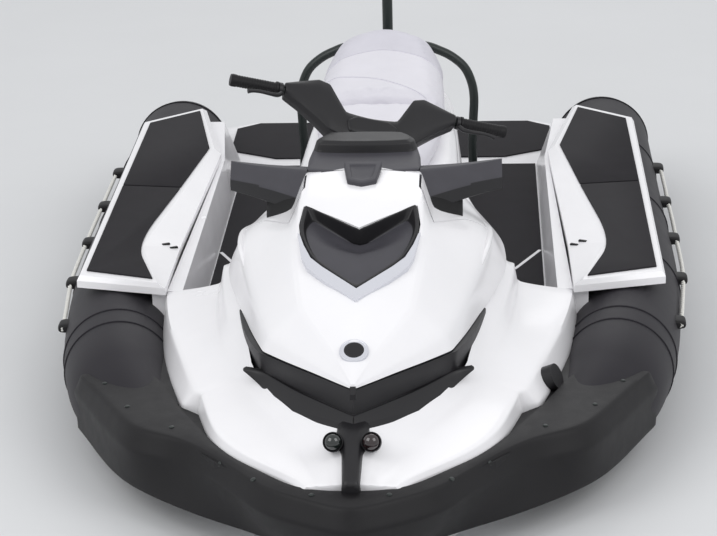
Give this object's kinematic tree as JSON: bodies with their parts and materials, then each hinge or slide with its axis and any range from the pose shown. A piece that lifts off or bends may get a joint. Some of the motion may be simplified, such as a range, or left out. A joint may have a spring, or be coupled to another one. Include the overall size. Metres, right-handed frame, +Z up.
{
  "type": "personal watercraft",
  "caption": "Sit-astride jet watercraft with an inflatable side collar, railed side platforms, a moulded bow fender, a hinged storage lid and a steered water-jet pump.",
  "frame": {"origin": "on the waterline, on the centreline, half way between the bow fender's nose and the stern platform's end", "axes": "+X to port, +Y towards the stern, +Z up"},
  "size_m": [1.84, 3.54, 1.562],
  "materials": {
    "gelcoat_white": "gloss",
    "hull_grey": "gloss",
    "fabric_grey": "satin",
    "rubber_black": "matt",
    "mat_charcoal": "matt, grooved",
    "plastic_black": "moulded, fine texture",
    "silver_trim": "silver paint",
    "seat_vinyl": "coated seat cover",
    "steel_dark": "powder coat",
    "steel_bright": "brushed",
    "aluminium_cast": "cast",
    "lens_red": "clear lens over red",
    "lens_green": "clear lens over green",
    "lens_white": "frosted lens",
    "rope_white": "braided",
    "engine_grey": "cast"
  },
  "bodies": {
    "craft": {"hull": "gelcoat_white", "engine_block": "engine_grey", "bow_deck": "gelcoat_white", "rub_rail": "rubber_black", "bow_fender": "rubber_black", "pedestal": "gelcoat_white", "upper_body": "gelcoat_white", "console": "plastic_black", "front_grille": "plastic_black", "bow_post": "plastic_black", "bow_light_port": "lens_red", "bow_light_starboard": "lens_green", "fuel_cap": "plastic_black", "seat_rider": "seat_vinyl", "seat_passenger": "seat_vinyl", "grab_hoop": "steel_dark", "mast": "steel_dark", "mast_light": "lens_white", "stern_platform": "gelcoat_white", "jet_pump": "aluminium_cast", "ride_plate": "aluminium_cast", "intake_grate": "steel_bright", "step_brackets": "steel_bright", "tow_eyes": "steel_bright", "collar_port": "fabric_grey", "collar_starboard": "fabric_grey", "platform_port": "gelcoat_white", "platform_starboard": "gelcoat_white", "platform_mats": "mat_charcoal", "side_walls": "gelcoat_white", "mirrors": "plastic_black", "grab_line": "rope_white", "line_holders": "rubber_black", "deck_mats": "mat_charcoal"},
    "lid": {"storage_lid": "gelcoat_white", "lid_vent": "plastic_black", "lid_trim": "silver_trim", "lid_latch": "plastic_black"},
    "steering": {"handlebar": "steel_dark", "handlebar_cover": "plastic_black", "grips": "rubber_black", "levers": "plastic_black"},
    "glove_box": {"glove_lid": "plastic_black"},
    "impeller": {"impeller": "steel_bright"},
    "nozzle": {"steering_nozzle": "aluminium_cast"},
    "bucket": {"reverse_bucket": "aluminium_cast"},
    "step": {"boarding_step": "steel_bright"}
  },
  "joints": [
    {"name": "steer", "type": "hinge", "parent": "craft", "child": "steering", "pos_m": [0, -0.176, 0.781], "axis": [0, 0.766, 0.6428], "range_deg": [-44, 4]},
    {"name": "nozzle_turn", "type": "hinge", "parent": "craft", "child": "nozzle", "pos_m": [0, 1.63, -0.12], "axis": [0, 0, 1], "range_deg": [-3.6, 39.6]},
    {"name": "impeller_spin", "type": "hinge", "parent": "craft", "child": "impeller", "pos_m": [0, 1.4, -0.12], "axis": [0, 1, 0], "continuous": true},
    {"name": "bucket_drop", "type": "hinge", "parent": "craft", "child": "bucket", "pos_m": [0, 1.628, -0.12], "axis": [-1, 0, 0], "range_deg": [0, 75]},
    {"name": "lid_open", "type": "hinge", "parent": "craft", "child": "lid", "pos_m": [0, -1.433, 0.413], "axis": [1, 0, 0], "range_deg": [0, 55]},
    {"name": "glove_open", "type": "hinge", "parent": "craft", "child": "glove_box", "pos_m": [0, -0.125, 0.578], "axis": [-1, 0, 0], "range_deg": [0, 72]},
    {"name": "step_fold", "type": "hinge", "parent": "craft", "child": "step", "pos_m": [-0.35, 1.628, -0.05], "axis": [-1, 0, 0], "range_deg": [0, 150]}
  ],
  "couplings": [
    {"joint": "nozzle_turn", "follows": "steer", "ratio": -0.9}
  ]
}
